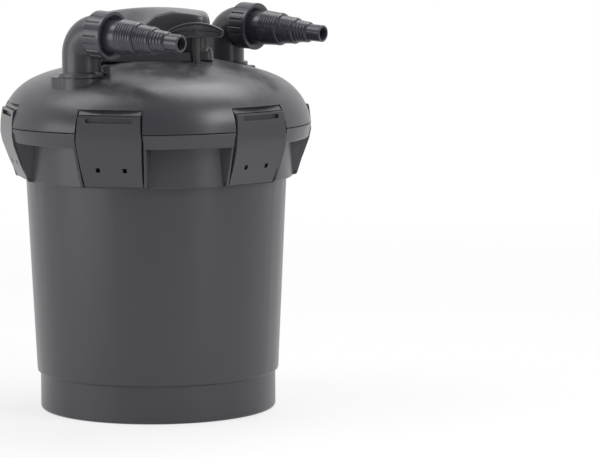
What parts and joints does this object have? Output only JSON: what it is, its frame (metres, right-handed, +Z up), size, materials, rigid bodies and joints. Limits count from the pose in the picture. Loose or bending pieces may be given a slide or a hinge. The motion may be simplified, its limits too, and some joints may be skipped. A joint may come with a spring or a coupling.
{
  "type": "canister filter",
  "caption": "Canister pond filter with a domed lid held by swing clips, a lamp head, a cleaning pull and two swivelling stepped hose tails.",
  "frame": {"origin": "centre of the foot ring on the ground", "axes": "+Z up, +X to the right seen from the side with the cleaning pull, -Y towards that side"},
  "size_m": [0.3948, 0.3844, 0.4842],
  "materials": {
    "housing_plastic": "charcoal moulded plastic, satin",
    "fitting_plastic": "darker moulded plastic, satin",
    "inner_plastic": "black moulded plastic",
    "steel": "stainless",
    "rubber": "soft black rubber",
    "blue_foam": "coarse open-cell filter foam",
    "red_foam": "fine open-cell filter foam",
    "quartz": "clear quartz",
    "lamp_glass": "clear lamp glass",
    "ceramic": "white",
    "aluminium": "plain"
  },
  "bodies": {
    "tank_body": {"tank": "housing_plastic", "clip_pins": "steel", "lid_seal": "rubber"},
    "lid_body": {"lid": "housing_plastic", "top_plate": "inner_plastic", "outlet_duct": "inner_plastic", "centre_tube": "inner_plastic", "foam_ring_1": "blue_foam", "foam_ring_2": "red_foam", "foam_ring_3": "blue_foam", "foam_ring_4": "red_foam", "head_base": "housing_plastic", "head_screws": "steel", "hood": "housing_plastic", "ballast": "aluminium", "cable_gland": "inner_plastic", "quartz_sleeve": "quartz", "quartz_seal": "rubber", "quartz_clamp": "inner_plastic", "lamp_socket": "ceramic", "uv_lamp": "lamp_glass", "rod_seal": "rubber"},
    "pull_body": {"pull_rod": "inner_plastic", "pull_grip": "housing_plastic", "press_plate": "inner_plastic"},
    "clip_1_body": {"clip_1": "housing_plastic"},
    "clip_2_body": {"clip_2": "housing_plastic"},
    "clip_3_body": {"clip_3": "housing_plastic"},
    "clip_4_body": {"clip_4": "housing_plastic"},
    "clip_5_body": {"clip_5": "housing_plastic"},
    "clip_6_body": {"clip_6": "housing_plastic"},
    "inlet_elbow_body": {"inlet_elbow": "housing_plastic", "inlet_o_ring": "rubber", "inlet_circlip": "steel"},
    "inlet_tail_body": {"inlet_tail": "fitting_plastic", "inlet_gasket": "rubber"},
    "inlet_nut_body": {"inlet_nut": "fitting_plastic"},
    "outlet_elbow_body": {"outlet_elbow": "housing_plastic", "outlet_o_ring": "rubber", "outlet_circlip": "steel"},
    "outlet_tail_body": {"outlet_tail": "fitting_plastic", "outlet_gasket": "rubber"},
    "outlet_nut_body": {"outlet_nut": "fitting_plastic"}
  },
  "joints": [
    {"name": "lid_lift", "type": "slide", "parent": "tank_body", "child": "lid_body", "axis": [0, 0, 1], "range_m": [0, 0.3]},
    {"name": "clip_1_hinge", "type": "hinge", "parent": "tank_body", "child": "clip_1_body", "pos_m": [-0.15771, -0.03467, 0.284], "axis": [0.2147, -0.9767, 0], "range_deg": [0, 150.1]},
    {"name": "clip_2_hinge", "type": "hinge", "parent": "tank_body", "child": "clip_2_body", "pos_m": [-0.04883, -0.15392, 0.284], "axis": [0.9532, -0.3024, 0], "range_deg": [0, 150.1]},
    {"name": "clip_3_hinge", "type": "hinge", "parent": "tank_body", "child": "clip_3_body", "pos_m": [0.10889, -0.11925, 0.284], "axis": [0.7385, 0.6743, 0], "range_deg": [0, 150.1]},
    {"name": "clip_4_hinge", "type": "hinge", "parent": "tank_body", "child": "clip_4_body", "pos_m": [0.15771, 0.03467, 0.284], "axis": [-0.2147, 0.9767, 0], "range_deg": [0, 150.1]},
    {"name": "clip_5_hinge", "type": "hinge", "parent": "tank_body", "child": "clip_5_body", "pos_m": [0.04883, 0.15392, 0.284], "axis": [-0.9532, 0.3024, 0], "range_deg": [0, 150.1]},
    {"name": "clip_6_hinge", "type": "hinge", "parent": "tank_body", "child": "clip_6_body", "pos_m": [-0.10889, 0.11925, 0.284], "axis": [-0.7385, -0.6743, 0], "range_deg": [0, 150.1]},
    {"name": "cleaning_pull", "type": "slide", "parent": "lid_body", "child": "pull_body", "axis": [0, 0, 1], "range_m": [0, 0.1], "deforming": ["foam_ring_1", "foam_ring_2", "foam_ring_3", "foam_ring_4"]},
    {"name": "inlet_swivel", "type": "hinge", "parent": "lid_body", "child": "inlet_elbow_body", "pos_m": [-0.08625, -0.09992, 0.40587], "axis": [0, 0, 1], "range_deg": [-150, 40]},
    {"name": "inlet_tail_travel", "type": "slide", "parent": "inlet_elbow_body", "child": "inlet_tail_body", "axis": [0.7865, -0.6145, -0.061], "range_m": [0, 0.012]},
    {"name": "inlet_nut_turn", "type": "hinge", "parent": "inlet_tail_body", "child": "inlet_nut_body", "pos_m": [-0.04834, -0.12955, 0.45463], "axis": [0.7865, -0.6145, -0.061], "range_deg": [0, 1441]},
    {"name": "outlet_swivel", "type": "hinge", "parent": "lid_body", "child": "outlet_elbow_body", "pos_m": [0.08625, 0.09992, 0.40587], "axis": [0, 0, 1], "range_deg": [-30, 150]},
    {"name": "outlet_tail_travel", "type": "slide", "parent": "outlet_elbow_body", "child": "outlet_tail_body", "axis": [0.7865, -0.6145, -0.061], "range_m": [0, 0.012]},
    {"name": "outlet_nut_turn", "type": "hinge", "parent": "outlet_tail_body", "child": "outlet_nut_body", "pos_m": [0.12417, 0.0703, 0.45463], "axis": [0.7865, -0.6145, -0.061], "range_deg": [0, 1441]}
  ],
  "couplings": [
    {"joint": "clip_1_hinge", "follows": "lid_lift", "rad_per_m": 8.7266},
    {"joint": "clip_2_hinge", "follows": "lid_lift", "rad_per_m": 8.7266},
    {"joint": "clip_3_hinge", "follows": "lid_lift", "rad_per_m": 8.7266},
    {"joint": "clip_4_hinge", "follows": "lid_lift", "rad_per_m": 8.7266},
    {"joint": "clip_5_hinge", "follows": "lid_lift", "rad_per_m": 8.7266},
    {"joint": "clip_6_hinge", "follows": "lid_lift", "rad_per_m": 8.7266},
    {"joint": "inlet_nut_turn", "follows": "inlet_tail_travel", "rad_per_m": 2094.4},
    {"joint": "outlet_nut_turn", "follows": "outlet_tail_travel", "rad_per_m": 2094.4}
  ]
}
